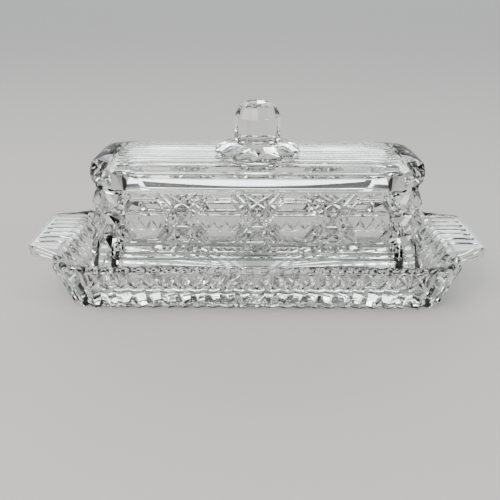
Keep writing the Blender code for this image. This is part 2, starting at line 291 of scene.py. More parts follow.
# Mound: a rim with a rounded edge, given as insets and heights over MOUND_EDGE_Z, under a petalled dome.
MOUND_RADIUS = 21.8
MOUND_SINK_Z = 65.6
MOUND_EDGE_Z = 67.4
MOUND_TOP_Z = 71.6
MOUND_RIM = ((0.0, -0.3), (0.25, 0.1), (0.9, 0.15))
DOME_INSET = 1.3
DOME_STEP = 0.2
DOME_TOP_RADIUS = KNOB_RADIUS - 1.5
DOME_STEPS = 12
PETAL_COUNT = 14
PETAL_STEPS = 10
PETAL_DEPTH = 1.5
PETAL_DIP = 0.3

# Floor and studio. Places are in metres and powers are Blender's own.
FLOOR_REACH = 40.0
FLOOR_COLOR = (0.40, 0.396, 0.39, 1.0)
DISH_MIDDLE = (0.0, 0.0, 0.03)
KEY_PLACE = (-0.45, -0.35, 0.75)
KEY_SIZE = (0.7, 0.7)
KEY_POWER = 9.0
KEY_COLOR = (1.0, 0.94, 0.86)
FILL_PLACE = (0.75, -0.35, 0.45)
FILL_SIZE = (0.25, 0.5)
FILL_POWER = 4.0
# The far lights' directions and widths are in degrees.
SKY_AZIMUTH = -145.0
SKY_ELEVATION = 65.0
SKY_WIDTH = 60.0
SKY_POWER = 1.3
BACK_AZIMUTHS = (-27.0, 0.0, 27.0)
BACK_ELEVATION = 31.0
BACK_WIDTH = 28.0
BACK_POWER = 0.82
BACK_COLOR = (0.9, 0.95, 1.0)
WHITE = (1.0, 1.0, 1.0)
# The world's colour by how far up a direction points.
WORLD_RAMP = (
    (0.16, (0.45, 0.45, 0.45, 1.0)),
    (0.30, (0.09, 0.09, 0.095, 1.0)),
    (0.50, (0.16, 0.16, 0.165, 1.0)),
    (0.80, (1.0, 1.0, 1.0, 1.0)),
)

# Camera.
CAMERA_PLACE = (-2.6, -250.3, 134.1)
CAMERA_PITCH = math.radians(25.356)
CAMERA_YAW = math.radians(-0.149)
CAMERA_ROLL = math.radians(0.208)
CAMERA_LENS = 38.88
CAMERA_SENSOR = 36.0
CAMERA_CLIP = (0.01, 100.0)


def new_object(name, data):
    made = bpy.data.objects.new(name, data)
    bpy.context.scene.collection.objects.link(made)
    return made


def apply_modifiers(piece):
    """Makes the evaluated shape the piece's own mesh."""
    graph = bpy.context.evaluated_depsgraph_get()
    mesh = bpy.data.meshes.new_from_object(piece.evaluated_get(graph))
    piece.modifiers.clear()
    piece.data = mesh
    return piece


def loft(name, rings):
    """A closed solid through rings of points, each ring counterclockwise seen from the last one."""
    builder = bmesh.new()
    rows = [[builder.verts.new(Vector(point) * MM) for point in ring] for ring in rings]
    count = len(rows[0])
    for lower, upper in zip(rows, rows[1:]):
        for index in range(count):
            after = (index + 1) % count
            builder.faces.new((lower[index], lower[after], upper[after], upper[index]))
    caps = [builder.faces.new(list(reversed(rows[0]))), builder.faces.new(rows[-1])]
    bmesh.ops.triangulate(builder, faces=caps)
    mesh = bpy.data.meshes.new(name)
    builder.to_mesh(mesh)
    builder.free()
    return new_object(name, mesh)


def combine(piece, tools, operation):
    """One Boolean of the piece with a list of closed tools, which are then removed."""
    group = bpy.data.collections.new("tools")
    bpy.context.scene.collection.children.link(group)
    for tool in tools:
        bpy.context.scene.collection.objects.unlink(tool)
        group.objects.link(tool)
    modifier = piece.modifiers.new("combine", "BOOLEAN")
    modifier.operation = operation
    modifier.operand_type = "COLLECTION"
    modifier.collection = group
    modifier.solver = "MANIFOLD"
    apply_modifiers(piece)
    for tool in tools:
        bpy.data.objects.remove(tool)
    bpy.data.collections.remove(group)


def drop_slivers(piece):
    """Takes out the triangles without area that are left where many cuts meet in one point."""
    builder = bmesh.new()
    builder.from_mesh(piece.data)
    for _ in range(SLIVER_PASSES):
        bmesh.ops.triangulate(builder, faces=builder.faces)
        bmesh.ops.dissolve_degenerate(builder, dist=SLIVER * MM, edges=builder.edges)
    builder.to_mesh(piece.data)
    builder.free()


def grown(half, by):
    return (half[0] + by, half[1] + by)


def mix(low, high, share):
    return low + (high - low) * share


def mix_pair(low, high, share):
    return (mix(low[0], high[0], share), mix(low[1], high[1], share))


def chamfered(half, chamfer, end_steps=1):
    """A rectangle with its four corners cut off; its short ends are divided into end_steps."""
    half_x, half_y = half
    cut_x, cut_y = chamfer
    end_y = half_y - cut_y
    right = [(half_x, mix(-end_y, end_y, step / end_steps)) for step in range(end_steps + 1)]
    back = [(half_x - cut_x, half_y), (cut_x - half_x, half_y)]
    left = [(-x, -y) for x, y in right]
    front = [(-x, -y) for x, y in back]
    return right + back + left + front


def v_ring(surface, point, across, width, depth, share):
    """The section of a V-shaped cutter at a point. share is how far the groove is open there, 0 to 1."""
    half = width / 2 * (share + CUT_PAST / depth)
    left, right = point + across * half, point - across * half
    ring = [(left.x, left.y, CUT_PAST), (right.x, right.y, CUT_PAST)]
    ring.append((point.x, point.y, mix(TIP_RAISE, -depth, share)))
    return [surface @ Vector(corner) for corner in ring]


def groove(surface, start, end, width=CUT_WIDTH, depth=CUT_DEPTH, taper=CUT_TAPER):
    """A V-shaped cutter with pointed ends, along a line from start to end drawn on a flat surface."""
    start, end = Vector(start), Vector(end)
    along = (end - start).normalized()
    across = Vector((-along.y, along.x))
    run = along * min(taper, (end - start).length * CUT_TAPER_LIMIT)
    stations = ((start, 0.0), (start + run, 1.0), (end - run, 1.0), (end, 0.0))
    return loft("groove", [v_ring(surface, point, across, width, depth, share) for point, share in stations])


def plug(surface, center, half, cut, depth, bevel):
    """An eight-sided cutter with sloping sides and a flat end, for a window."""
    rings = []
    for height, grow in ((-depth, 0.0), (CUT_PAST, bevel * (1 + CUT_PAST / depth))):
        outline = chamfered(grown(half, grow), cut)
        rings.append([surface @ Vector((x + center[0], y + center[1], height)) for x, y in outline])
    return loft("plug", rings)


def wall_half(z):
    """Half length and half width of the tray's wall at a height."""
    if z < LEDGE_Z:
        return mix_pair(FOOT_HALF, LEDGE_HALF, z / LEDGE_Z)
    return mix_pair(LEDGE_HALF, RIM_HALF, min(1.0, (z - LEDGE_Z) / (RIM_EDGE_Z - LEDGE_Z)))


def arrises(half, corner_y):
    """The arris points round the tray's wall, counterclockwise, with the kind of the flute after each."""
    corner_x = half[0] - STRAIGHT_HALF_X
    low_y = half[1] - corner_y
    points = []
    for step in range(END_FLUTES):
        points.append((Vector((half[0], mix(-low_y, low_y, step / END_FLUTES))), "side"))
    for step in range(CORNER_FLUTES):
        angle = math.pi / 2 * step / CORNER_FLUTES
        place = Vector((STRAIGHT_HALF_X + corner_x * math.cos(angle), low_y + corner_y * math.sin(angle)))
        points.append((place, "corner"))
    for step in range(LONG_FLUTES):
        x = mix(STRAIGHT_HALF_X, -STRAIGHT_HALF_X, step / LONG_FLUTES)
        points.append((Vector((x, half[1])), "side"))
    for step in range(CORNER_FLUTES):
        angle = math.pi / 2 * (1 - step / CORNER_FLUTES)
        place = Vector((-STRAIGHT_HALF_X - corner_x * math.cos(angle), low_y + corner_y * math.sin(angle)))
        points.append((place, "corner"))
    return points + [(-place, kind) for place, kind in points]


def soften(tent):
    """A rise from 0 to 1 like tent's own, with the arris at 0 rounded off a little."""
    full = math.hypot(1.0, ARRIS_ROUND) - ARRIS_ROUND
    return (math.hypot(tent, ARRIS_ROUND) - ARRIS_ROUND) / full


def wall_ring(height, relief, corner_depth, inset=0.0):
    """One ring of the tray's wall.

    height and relief give a point's height and its depth inwards. Both are functions of arch and tent, a
    round and a straight rise from 0 at a flute's arrises to 1 at its middle. A corner flute is round and
    level.
    """
    ring = []
    kinds = [kind for place, kind in arrises(FOOT_HALF, FOOT_CORNER_Y)]
    for index, kind in enumerate(kinds):
        for across in FLUTE_PLACES:
            arch = 4 * across * (1 - across)
            tent = 1 - abs(2 * across - 1)
            on_side = kind == "side"
            z = height(arch, tent) if on_side else height(0.5, 0.5)
            depth = relief(arch, soften(tent)) if on_side else corner_depth * arch
            corner_y = mix(FOOT_CORNER_Y, RIM_CORNER_Y, z / RIM_EDGE_Z)
            places = arrises(grown(wall_half(z), -inset), corner_y - inset)
            start = places[index][0]
            end = places[(index + 1) % len(places)][0]
            outward = Vector((end.y - start.y, start.x - end.x)).normalized()
            place = start.lerp(end, across) - outward * depth
            ring.append((place.x, place.y, z))
    return ring


def flute_rings():
    """The fluted wall from the foot up to the arched ledge."""
    rings = []
    for height_share, inset_share in FOOT_PROFILE:
        z = FOOT_ROUND * height_share
        rings.append(wall_ring(
            lambda arch, tent: z,
            lambda arch, tent: LEDGE_STEP + FLUTE_DEPTH * tent,
            CORNER_DEPTH, FOOT_ROUND * inset_share))
    for share in WALL_SHARES:
        rings.append(wall_ring(
            lambda arch, tent: mix(FOOT_ROUND, LEDGE_Z - LEDGE_LIP[0][0] + ARCH_RISE * arch, share),
            lambda arch, tent: LEDGE_STEP + FLUTE_DEPTH * tent,
            CORNER_DEPTH))
    for below, keep in LEDGE_LIP:
        rings.append(wall_ring(
            lambda arch, tent: LEDGE_Z + ARCH_RISE * arch - below,
            lambda arch, tent: LEDGE_STEP + FLUTE_DEPTH * tent * keep,
            CORNER_DEPTH))
    return rings


def zigzag_rings():
    rings = []
    for low, high, low_depth, high_depth in ZIGZAGS:
        rings.append(wall_ring(
            lambda arch, tent: LEDGE_Z + mix(low, high, tent),
            lambda arch, tent: mix(low_depth, high_depth, tent),
            CORNER_DEPTH * BAND_CORNER_SHARE))
    return rings


def bead_rings():
    """The rim: a row of beads that round over inwards to the rim's top."""
    bead_z = RIM_EDGE_Z + BEAD_RISE
    rings = [wall_ring(
        lambda arch, tent: RIM_EDGE_Z + BEAD_EDGE_RISE,
        lambda arch, tent: BEAD_INSET + BEAD_NOTCH_IN * max(0.0, tent - BEAD_NOTCH_FROM),
        CORNER_DEPTH * EDGE_CORNER_SHARE)]
    for step in range(RIM_STEPS + 1):
        angle = math.pi / 2 * step / RIM_STEPS
        up = math.sin(angle)
        notch_from = BEAD_NOTCH_FROM + BEAD_NOTCH_NARROWS * up
        rings.append(wall_ring(
            lambda arch, tent: bead_z + (RIM_TOP_Z - bead_z - BEAD_DIP * (1 - arch)) * up,
            lambda arch, tent: BEAD_INSET * (1 - arch) + BEAD_NOTCH_IN * max(0.0, tent - notch_from),
            CORNER_DEPTH * RIM_CORNER_SHARE, RIM_BEVEL * (1 - math.cos(angle))))
    return rings


def tray_block():
    """The tray before it is hollowed."""
    return loft("tray_block", flute_rings() + zigzag_rings() + bead_rings())


def well_half(z):
    """Half length and half width of the well at a height; the ends bulge inwards towards the floor."""
    share = (z - FLOOR_Z) / (RIM_TOP_Z - FLOOR_Z)
    half_x = mix(WELL_FLOOR_HALF[0], WELL_RIM_HALF[0], max(0.0, share) ** WELL_END_POWER)
    return (half_x, mix(WELL_FLOOR_HALF[1], WELL_RIM_HALF[1], share))


def well():
    top_z = HANDLE_TOP_Z + WELL_PAST
    rings = []
    for step in range(WELL_STEPS + 1):
        z = mix(FLOOR_Z, top_z, step / WELL_STEPS)
        share = (z - FLOOR_Z) / (RIM_TOP_Z - FLOOR_Z)
        corner = mix_pair(WELL_FLOOR_CORNER, WELL_RIM_CORNER, share)
        rings.append([(x, y, z) for x, y in chamfered(well_half(z), corner)])
    return loft("well", rings)


def foot_recess():
    half = grown(FOOT_HALF, -FOOT_RING_WIDTH)
    corner = (half[0] - STRAIGHT_HALF_X, FOOT_CORNER_Y)
    low = [(x, y, -CUT_PAST) for x, y in chamfered(half, corner)]
    high = [(x, y, FOOT_RECESS_Z) for x, y in chamfered(grown(half, -FOOT_RECESS_Z), corner)]
    return loft("foot_recess", [low, high])


def sun_rays():
    """Mitre grooves in the underside that widen and deepen from the hub out to the foot ring."""
    surface = Matrix.Translation((0.0, 0.0, FOOT_RECESS_Z)) @ Matrix.Rotation(math.pi, 4, "X")
    half = grown(FOOT_HALF, -FOOT_RING_WIDTH - FOOT_RECESS_Z - SUN_MARGIN)
    rays = []
    for index in range(SUN_RAYS):
        angle = 2 * math.pi * (index + 0.5) / SUN_RAYS
        heading = Vector((math.cos(angle), math.sin(angle)))
        across = Vector((-heading.y, heading.x))
        reach = min(half[0] / abs(heading.x), half[1] / abs(heading.y))
        width = 2 * math.pi * reach / SUN_RAYS * SUN_FILL
        rings = []
        for share, open_share in SUN_PROFILE:
            point = heading * mix(SUN_HUB, reach, share)
            rings.append(v_ring(surface, point, across, width, width * SUN_STEEPNESS, open_share))
        rays.append(loft("ray", rings))
    return rays


def round_corner(before, corner, after, radius, steps):
    """Points that replace a corner of an outline by an arc tangent to both its sides."""
    before, corner, after = Vector(before), Vector(corner), Vector(after)
    to_before = (before - corner).normalized()
    to_after = (after - corner).normalized()
    half_angle = to_before.angle(to_after) / 2
    center = corner + (to_before + to_after).normalized() * (radius / math.sin(half_angle))
    first = corner + to_before * (radius / math.tan(half_angle)) - center
    last = corner + to_after * (radius / math.tan(half_angle)) - center
    return [center + first.slerp(last, step / steps) * radius for step in range(steps + 1)]


def handle_plate(direction):
    """The flat ear at one end, rooted in the wall. direction is 1 for the end at +X and -1 for the other."""
    low_neck = (HANDLE_NECK_X, -HANDLE_NECK_HALF_Y)
    high_neck = (HANDLE_NECK_X, HANDLE_NECK_HALF_Y)
    low_corner = (HANDLE_END_X, -HANDLE_END_HALF_Y)
    high_corner = (HANDLE_END_X, HANDLE_END_HALF_Y)
    radius, steps = HANDLE_CORNER_RADIUS, HANDLE_CORNER_STEPS
    outline = [(HANDLE_ROOT_X, -HANDLE_ROOT_HALF_Y), low_neck]
    outline += round_corner(low_neck, low_corner, high_corner, radius, steps)
    outline += round_corner(low_corner, high_corner, high_neck, radius, steps)
    outline += [high_neck, (HANDLE_ROOT_X, HANDLE_ROOT_HALF_Y)]
    if direction < 0:
        outline = [(-x, y) for x, y in reversed(outline)]
    end_low_z = HANDLE_TOP_Z - HANDLE_END_THICKNESS
    low = [(x, y, end_low_z - HANDLE_THICKEN * (HANDLE_END_X - abs(x))) for x, y in outline]
    high = [(x, y, HANDLE_TOP_Z) for x, y in outline]
    plate = loft("handle", [low, high])
    bevel = plate.modifiers.new("edge", "BEVEL")
    bevel.width = HANDLE_EDGE_RADIUS * MM
    bevel.segments = HANDLE_EDGE_SEGMENTS
    bevel.limit_method = "ANGLE"
    return apply_modifiers(plate)


def rib_path(offset_y):
    """A rib's middle line as X and Z, from near the handle's edge inwards and down the well's end."""
    taper = (HANDLE_NECK_HALF_Y - HANDLE_END_HALF_Y) / (HANDLE_END_X - HANDLE_NECK_X)
    reach = (HANDLE_NECK_HALF_Y - abs(offset_y)) / taper + HANDLE_NECK_X
    stop_x = min(HANDLE_END_X, reach) - RIB_MARGIN
    sink = RIB_RADIUS - RIB_RISE
    path = [(stop_x - RIB_TIP[0], HANDLE_TOP_Z - sink - RIB_TIP[1])]
    for step in range(RIB_STEPS + 1):
        path.append((mix(stop_x, RIB_CREASE_X, step / RIB_STEPS), HANDLE_TOP_Z - sink))
    for step in range(WELL_STEPS + 1):
        z = mix(HANDLE_TOP_Z - RIB_TURN_DROP, FLOOR_Z + RIB_FLOOR_GAP, step / WELL_STEPS)
        path.append((well_half(z)[0] + sink, z - sink * RIB_WELL_DROP))
    return path


def handle_rib(direction, offset_y):
    path = rib_path(offset_y)
    rings = []
    for index, (x, z) in enumerate(path):
        before = Vector(path[max(0, index - 1)])
        after = Vector(path[min(len(path) - 1, index + 1)])
        along = (after - before).normalized()
        outward = Vector((along.y, -along.x))
        ring = []
        for side in range(RIB_SIDES):
            angle = 2 * math.pi * side / RIB_SIDES
            up = outward * math.cos(angle) * RIB_RADIUS
            y = offset_y + math.sin(angle) * RIB_RADIUS
            ring.append((direction * (x + up.x), y, z + up.y))
        if direction < 0:
            ring.reverse()
        rings.append(ring)
    return loft("rib", rings)


def make_tray():
    tray = tray_block()
    combine(tray, [handle_plate(1), handle_plate(-1)], "UNION")
    combine(tray, [well(), foot_recess()], "DIFFERENCE")
    combine(tray, sun_rays(), "DIFFERENCE")
    ribs = []
    for direction in (1, -1):
        for index in range(RIB_COUNT):
            ribs.append(handle_rib(direction, (index - (RIB_COUNT - 1) / 2) * RIB_SPACING))
    combine(tray, ribs, "UNION")
    tray.name = "tray_glass_body"
    return tray


def arch_rise(y, x=0.0):
    """How far the top stands over the crease's lowest level; it rounds down a little at both ends."""
    from_end = max(0.0, min(1.0, (BULGE_HALF[0] - abs(x)) / END_DROP_RUN))
    end_share = 1 - END_DROP * (1 - math.sin(math.pi / 2 * from_end))
    return (COVER_TOP_Z - CREASE_Z) * (1 - min(1.0, abs(y) / ARCH_HALF_Y) ** ARCH_POWER) * end_share


def arched_ring(z, half, chamfer, share):
    """A ring round the cover at a height, raised by a share of the top's arch."""
    return [(x, y, z + arch_rise(y, x) * share) for x, y in chamfered(half, chamfer, END_STEPS)]


def closing_rings(z, half, chamfer, count):
    """Rings that close an arched top from its edge inwards to a line along its middle."""
    rings = []
    for step in range(1, count):
        share = 1 - (step / count) ** CLOSING_POWER
        half_y = half[1] * share
        half_x = half[0] - (half[1] - half_y)
        rings.append(arched_ring(z, (half_x, half_y), (chamfer[0] * share, chamfer[1] * share), 1.0))
    return rings


def shoulder_inset(z):
    """How far the rounded shoulder stands in from its bulge at a height."""
    return SHOULDER_RADIUS - math.sqrt(SHOULDER_RADIUS ** 2 - (z - BULGE_Z) ** 2)


def cover_block():
    """The cover before it is hollowed and cut."""
    levels = [
        (COVER_FOOT_Z, grown(COVER_FOOT_HALF, -COVER_FOOT_ROUND)),
        (COVER_FOOT_Z + COVER_FOOT_ROUND, COVER_FOOT_HALF),
        (GROOVE_Z - GROOVE_RUN, BELOW_GROOVE_HALF),
        (GROOVE_Z, GROOVE_HALF),
    ]
    for step in range(SHOULDER_STEPS + 1):
        z = mix(SHOULDER_LOW_Z, CREASE_Z, step / SHOULDER_STEPS)
        levels.append((z, grown(BULGE_HALF, -shoulder_inset(z))))
    rings = []
    for z, half in levels:
        share = min(1.0, max(0.0, (z - GROOVE_Z) / (CREASE_Z - GROOVE_Z)))
        rings.append(arched_ring(z, half, CHAMFER, share))
    crease_half = grown(BULGE_HALF, -shoulder_inset(CREASE_Z))
    rings += closing_rings(CREASE_Z, crease_half, CHAMFER, ARCH_RINGS)
    return loft("cover_block", rings)


def hollow():
    """The room inside the cover: level walls with round inner corners under an arched roof."""
    crease_z = CREASE_Z - ROOF
    top_half = grown(BULGE_HALF, -WALL - HOLLOW_TOP_INSET - HOLLOW_ROUND)
    foot = chamfered(grown(COVER_FOOT_HALF, -WALL), HOLLOW_CHAMFER, END_STEPS)
    rings = [[(x, y, COVER_FOOT_Z - CUT_PAST) for x, y in foot]]
    for step in range(HOLLOW_STEPS + 1):
        angle = math.pi / 2 * step / HOLLOW_STEPS
        z = crease_z - HOLLOW_ROUND + HOLLOW_ROUND * math.sin(angle)
        half = grown(top_half, HOLLOW_ROUND * math.cos(angle))
        rings.append(arched_ring(z, half, HOLLOW_CHAMFER, math.sin(angle)))
    rings += closing_rings(crease_z, top_half, HOLLOW_CHAMFER, HOLLOW_RINGS)
    return loft("hollow", rings)


def octagon(radius, z):
    ring = []
    for index in range(KNOB_SIDES):
        angle = 2 * math.pi * index / KNOB_SIDES
        ring.append((radius * math.cos(angle), radius * math.sin(angle), z))
    return ring


def knob():
    """The knob on its collar, with a fine groove between them."""
    levels = (
        (MOUND_SINK_Z, KNOB_RADIUS - STEM_INSET),
        (COLLAR_Z - COLLAR_BEVEL, KNOB_RADIUS - STEM_INSET),
        (COLLAR_Z, KNOB_RADIUS),
        (KNOB_GROOVE_Z - KNOB_GROOVE_REACH, KNOB_RADIUS),
        (KNOB_GROOVE_Z, KNOB_RADIUS - KNOB_GROOVE_IN),
        (KNOB_GROOVE_Z + KNOB_GROOVE_REACH, KNOB_RADIUS),
        (KNOB_SIDE_TOP_Z, KNOB_RADIUS),
    ) + KNOB_CROWN
    return loft("knob", [octagon(radius, z) for z, radius in levels])


def mound():
    """A low dome of round petals that meet in creases."""
    levels = [(MOUND_RADIUS, MOUND_SINK_Z, 0.0)]
    for inset, rise in MOUND_RIM:
        levels.append((MOUND_RADIUS - inset, MOUND_EDGE_Z + rise, 0.0))
    for step in range(DOME_STEPS):
        angle = math.pi / 2 * step / DOME_STEPS
        radius = mix(DOME_TOP_RADIUS, MOUND_RADIUS - DOME_INSET, math.cos(angle))
        z = MOUND_EDGE_Z + DOME_STEP + (MOUND_TOP_Z - MOUND_EDGE_Z) * math.sin(angle)
        levels.append((radius, z, math.cos(angle)))
    count = PETAL_COUNT * PETAL_STEPS
    rings = []
    for radius, z, depth_share in levels:
        ring = []
        for index in range(count):
            angle = 2 * math.pi * index / count
            within = (index % PETAL_STEPS) / PETAL_STEPS
            crease_share = (1 - math.sin(math.pi * within)) * depth_share
            reach = radius - PETAL_DEPTH * crease_share
            ring.append((reach * math.cos(angle), reach * math.sin(angle), z - PETAL_DIP * crease_share))
        rings.append(ring)
    return loft("mound", rings)


def cover_wall_half(z):
    """Half length and half width of the cover's leaning wall at a height."""
    share = (z - COVER_FOOT_Z - COVER_FOOT_ROUND) / COVER_WALL_RISE
    return mix_pair(COVER_FOOT_HALF, BELOW_GROOVE_HALF, share)


def face_surface(turn_z, axis):
    """A flat frame on one face of the cover: its X runs along the face, Y up it, Z out of it.

    turn_z turns it round from the front. axis is 0 for an end face and 1 for a long face.
    """
    lean = math.atan((COVER_FOOT_HALF[axis] - BELOW_GROOVE_HALF[axis]) / COVER_WALL_RISE)
    upright = Matrix.Rotation(math.pi / 2 - lean, 4, "X")
    place = Matrix.Translation((0.0, -cover_wall_half(WINDOW_Z)[axis], WINDOW_Z))
    return Matrix.Rotation(turn_z, 4, "Z") @ place @ upright


def ring_grooves(surface, center_u):
    """The octagon round a window. Sides that its corners leave almost no length are not cut."""
    outline = [Vector(point) + Vector((center_u, 0.0)) for point in chamfered(RING_HALF, RING_CUT)]
    grooves = []
    for index, point in enumerate(outline):
        after = outline[(index + 1) % len(outline)]
        if (after - point).length > RING_SHORTEST:
            grooves.append(groove(surface, point, after, taper=RING_TAPER))
    return grooves


def clipped(start, end, limit_u):
    """The stretch of a line between -limit_u and limit_u, or nothing if it is too short to cut."""
    start, end = Vector(start), Vector(end)
    run = end.x - start.x
    if run == 0.0:
        return (start, end) if abs(start.x) <= limit_u else None
    shares = sorted(((-limit_u - start.x) / run, (limit_u - start.x) / run))
    first, last = max(0.0, shares[0]), min(1.0, shares[1])
    if (last - first) * (end - start).length < SHORTEST_CUT:
        return None
    return (start.lerp(end, first), start.lerp(end, last))


def star_lines():
    """The lines of the star between two windows, as pairs of points round its middle."""
    node_u, node_v = STAR_NODE
    high_v, low_v = STAR_V + node_v, STAR_V - node_v
    rise = STAR_CROSSING - node_v
    top_run = (PANEL_TOP_V - high_v) / rise * node_u
    low_run = (low_v - LINE_TOP_V) / rise * node_u
    top_u = (PANEL_TOP_V - STAR_V) * node_u / node_v
    low_u = (STAR_V - LINE_TOP_V) * node_u / node_v
    low_lean, far_lean = STAR_FOOT_LEANS
    foot_v = (LINE_TOP_V + LINE_LOW_V) / 2 - STAR_FOOT_DIP
    lines = []
    for side in (1, -1):
        u = side * node_u
        lines.append(((-side * low_u, LINE_TOP_V), (side * top_u, PANEL_TOP_V)))
        lines.append(((u, high_v), (side * (node_u - top_run), PANEL_TOP_V)))
        lines.append(((u, low_v), (side * (node_u - low_run), LINE_TOP_V)))
        lines.append(((u, high_v), (side * (node_u + STAR_TOP_LEAN), PANEL_TOP_V)))
        lines.append(((u, high_v + STAR_SIDE_PAST), (u, LINE_LOW_V)))
        lines.append(((side * (node_u + low_lean), LINE_TOP_V), (side * (node_u + far_lean), LINE_LOW_V)))
        lines.append(((u, LINE_TOP_V), (0.0, foot_v)))
        for up in (1, -1):
            along = Vector((u, up * node_v)).normalized()
            inward = Vector((along.y, -along.x)) * (STAR_BAR_LENGTH * side * up)
            for offset in STAR_BAR_OFFSETS:
                start = Vector((u, STAR_V + up * node_v)) + along * offset
                lines.append((start, start + inward))
    lines.append(((-node_u, low_v), (node_u, low_v)))
    return lines


def star_grooves(surface, center_u, limit_u):
    grooves = []
    for (u1, v1), (u2, v2) in star_lines():
        line = clipped((u1 + center_u, v1), (u2 + center_u, v2), limit_u)
        if line:
            grooves.append(groove(surface, *line, STAR_WIDTH, STAR_DEPTH))
    return grooves


def window_cuts(surface, center_u):
    """A window, the octagon round it and the two ends of the bar over it."""
    tools = [plug(surface, (center_u, 0.0), WINDOW_HALF, WINDOW_CUT, WINDOW_DEPTH, WINDOW_BEVEL)]
    tools += ring_grooves(surface, center_u)
    for side in (1, -1):
        u = center_u + side * BAR_END_U
        start, end = (u, RING_HALF[1]), (u, PANEL_TOP_V + BAR_END_PAST)
        tools.append(groove(surface, start, end, taper=BAR_END_TAPER))
    return tools


def level_lines(surface, half_u):
    """The level grooves under the windows."""
    return [groove(surface, (-half_u, v), (half_u, v)) for v in (LINE_TOP_V, LINE_LOW_V, BAND_LOW_V)]


def long_face_cuts(turn_z):
    surface = face_surface(turn_z, 1)
    tools = []
    for index in range(WINDOW_COUNT):
        tools += window_cuts(surface, (index - (WINDOW_COUNT - 1) / 2) * WINDOW_PITCH)
    for index in range(WINDOW_COUNT + 1):
        center_u = (index - WINDOW_COUNT / 2) * WINDOW_PITCH
        tools += star_grooves(surface, center_u, PANEL_HALF_U - STAR_MARGIN)
    tools += level_lines(surface, PANEL_HALF_U)
    for side in (1, -1):
        top = (side * (PANEL_HALF_U - PANEL_SIDE_LEAN), PANEL_TOP_V)
        tools.append(groove(surface, top, (side * PANEL_HALF_U, BAND_LOW_V)))
    return tools


def end_face_cuts(turn_z):
    surface = face_surface(turn_z, 0)
    tools = window_cuts(surface, 0.0)
    for side in (1, -1):
        tools += star_grooves(surface, side * WINDOW_PITCH / 2, END_PANEL_HALF_U)
    return tools + level_lines(surface, END_PANEL_HALF_U)


def reed_cutter(y):
    """What is cut away between two reeds of the top: its sides follow the round reeds, its foot is sharp."""
    near = 0.1
    slope = (arch_rise(y + near) - arch_rise(y - near)) / (2 * near)
    place = Matrix.Translation((0.0, y, CREASE_Z + arch_rise(y)))
    surface = place @ Matrix.Rotation(math.atan(slope), 4, "X")
    section = []
    for step in range(REED_STEPS + 1):
        off = REED_PITCH / 2 * (1 - step / REED_STEPS)
        section.append((-off, math.sqrt(REED_RADIUS ** 2 - (REED_PITCH / 2 - off) ** 2) - REED_RADIUS))
    section += [(-off, height) for off, height in reversed(section[:-1])]
    section += [(REED_PITCH / 2, CUT_PAST), (-REED_PITCH / 2, CUT_PAST)]
    rings = []
    for share, x in ((0.0, -1.0), (1.0, -REED_END_SHARE), (1.0, REED_END_SHARE), (0.0, 1.0)):
        ring = []
        for off, height in section:
            raised = height if height > 0 else height * share
            ring.append(surface @ Vector((x * REED_HALF_LENGTH, off, raised)))
        rings.append(ring)
    return loft("reed", rings)


def top_reeds():
    count = int(REED_LAST_Y / REED_PITCH)
    return [reed_cutter((index + 0.5) * REED_PITCH) for index in range(-count, count)]


def frame_groove(x):
    """A groove across the arched top, where the reeds end."""
    half = FRAME_WIDTH / 2 * (1 + CUT_PAST / FRAME_DEPTH)
    rings = []
    for step in range(FRAME_STEPS + 1):
        y = mix(-REED_LAST_Y, REED_LAST_Y, step / FRAME_STEPS)
        z = CREASE_Z + arch_rise(y, x)
        rings.append([(x - half, y, z + CUT_PAST), (x + half, y, z + CUT_PAST), (x, y, z - FRAME_DEPTH)])
    return loft("frame", rings)


def crease_grooves():
    """A fine line along both long sides where the rounded shoulder ends."""
    half_x = BULGE_HALF[0] - CHAMFER[0] - CREASE_MARGIN
    stand = BULGE_HALF[1] - shoulder_inset(CREASE_Z)
    tools = []
    for turn in (0.0, math.pi):
        place = Matrix.Rotation(turn, 4, "Z") @ Matrix.Translation((0.0, -stand, CREASE_Z))
        surface = place @ Matrix.Rotation(CREASE_LEAN, 4, "X")
        tools.append(groove(surface, (-half_x, 0.0), (half_x, 0.0), CREASE_WIDTH, CREASE_DEPTH))
    return tools


def corner_notches():
    """V notches across the upright edges of the cover's corners, which leave blunt teeth between them."""
    chamfer_turn = math.atan2(CHAMFER[0], CHAMFER[1])
    start, end = (-NOTCH_HALF_LENGTH, 0.0), (NOTCH_HALF_LENGTH, 0.0)
    tools = []
    for index in range(NOTCH_COUNT):
        z = NOTCH_TOP_Z - index * NOTCH_PITCH
        half_x, half_y = cover_wall_half(z)
        edges = (
            (half_x, half_y - CHAMFER[1], chamfer_turn / 2),
            (half_x - CHAMFER[0], half_y, (chamfer_turn + math.pi / 2) / 2),
        )
        for x, y, turn in edges:
            for side_x in (1, -1):
                for side_y in (1, -1):
                    out = Vector((side_x * math.cos(turn), side_y * math.sin(turn), 0.0))
                    across = Vector((-out.y, out.x, 0.0))
                    surface = Matrix((across, (0.0, 0.0, 1.0), out)).transposed().to_4x4()
                    surface.translation = (side_x * x, side_y * y, z)
                    tools.append(groove(surface, start, end, NOTCH_WIDTH, NOTCH_DEPTH))
    return tools


def make_cover():
    cover = cover_block()
    combine(cover, [hollow()], "DIFFERENCE")
    combine(cover, top_reeds() + [frame_groove(FRAME_X), frame_groove(-FRAME_X)], "DIFFERENCE")
    combine(cover, [mound(), knob()], "UNION")
    combine(cover, corner_notches() + crease_grooves(), "DIFFERENCE")
    tools = long_face_cuts(0.0) + long_face_cuts(math.pi)
    tools += end_face_cuts(math.pi / 2) + end_face_cuts(-math.pi / 2)
    combine(cover, tools, "DIFFERENCE")
    drop_slivers(cover)
    cover.name = "cover_glass_body"
    return cover


def link(tree, source, target):
    tree.links.new(source, target)


